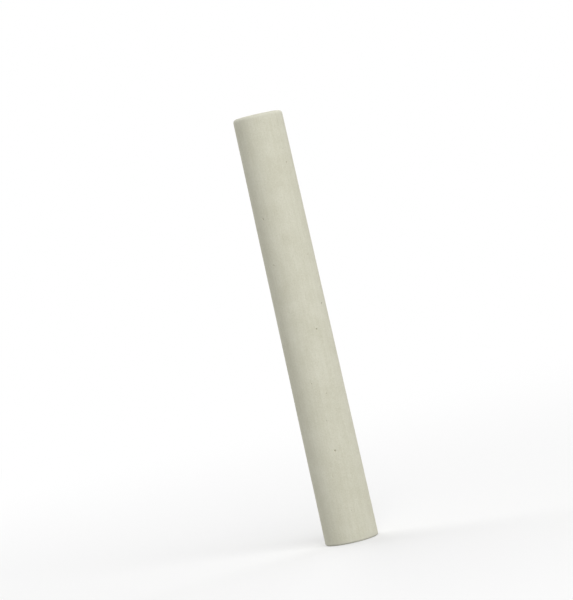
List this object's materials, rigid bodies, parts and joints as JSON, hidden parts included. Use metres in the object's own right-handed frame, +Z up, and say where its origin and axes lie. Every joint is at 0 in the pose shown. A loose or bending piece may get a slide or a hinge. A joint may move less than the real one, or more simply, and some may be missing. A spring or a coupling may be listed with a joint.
{
  "type": "chalk stick",
  "caption": "Moulded stick of white blackboard chalk: a slightly tapered round rod with flat ends and softly rounded rims, for writing on a board.",
  "frame": {"origin": "centre of the wide flat end, the face that the stick stands on", "axes": "+Z up the stick's axis, from the wide end to the narrow end; X and Y are alike, because the stick is round"},
  "size_m": [0.01, 0.01, 0.08],
  "materials": {
    "chalk": "matte"
  },
  "bodies": {
    "root": {"chalk_stick": "chalk"}
  },
  "joints": []
}
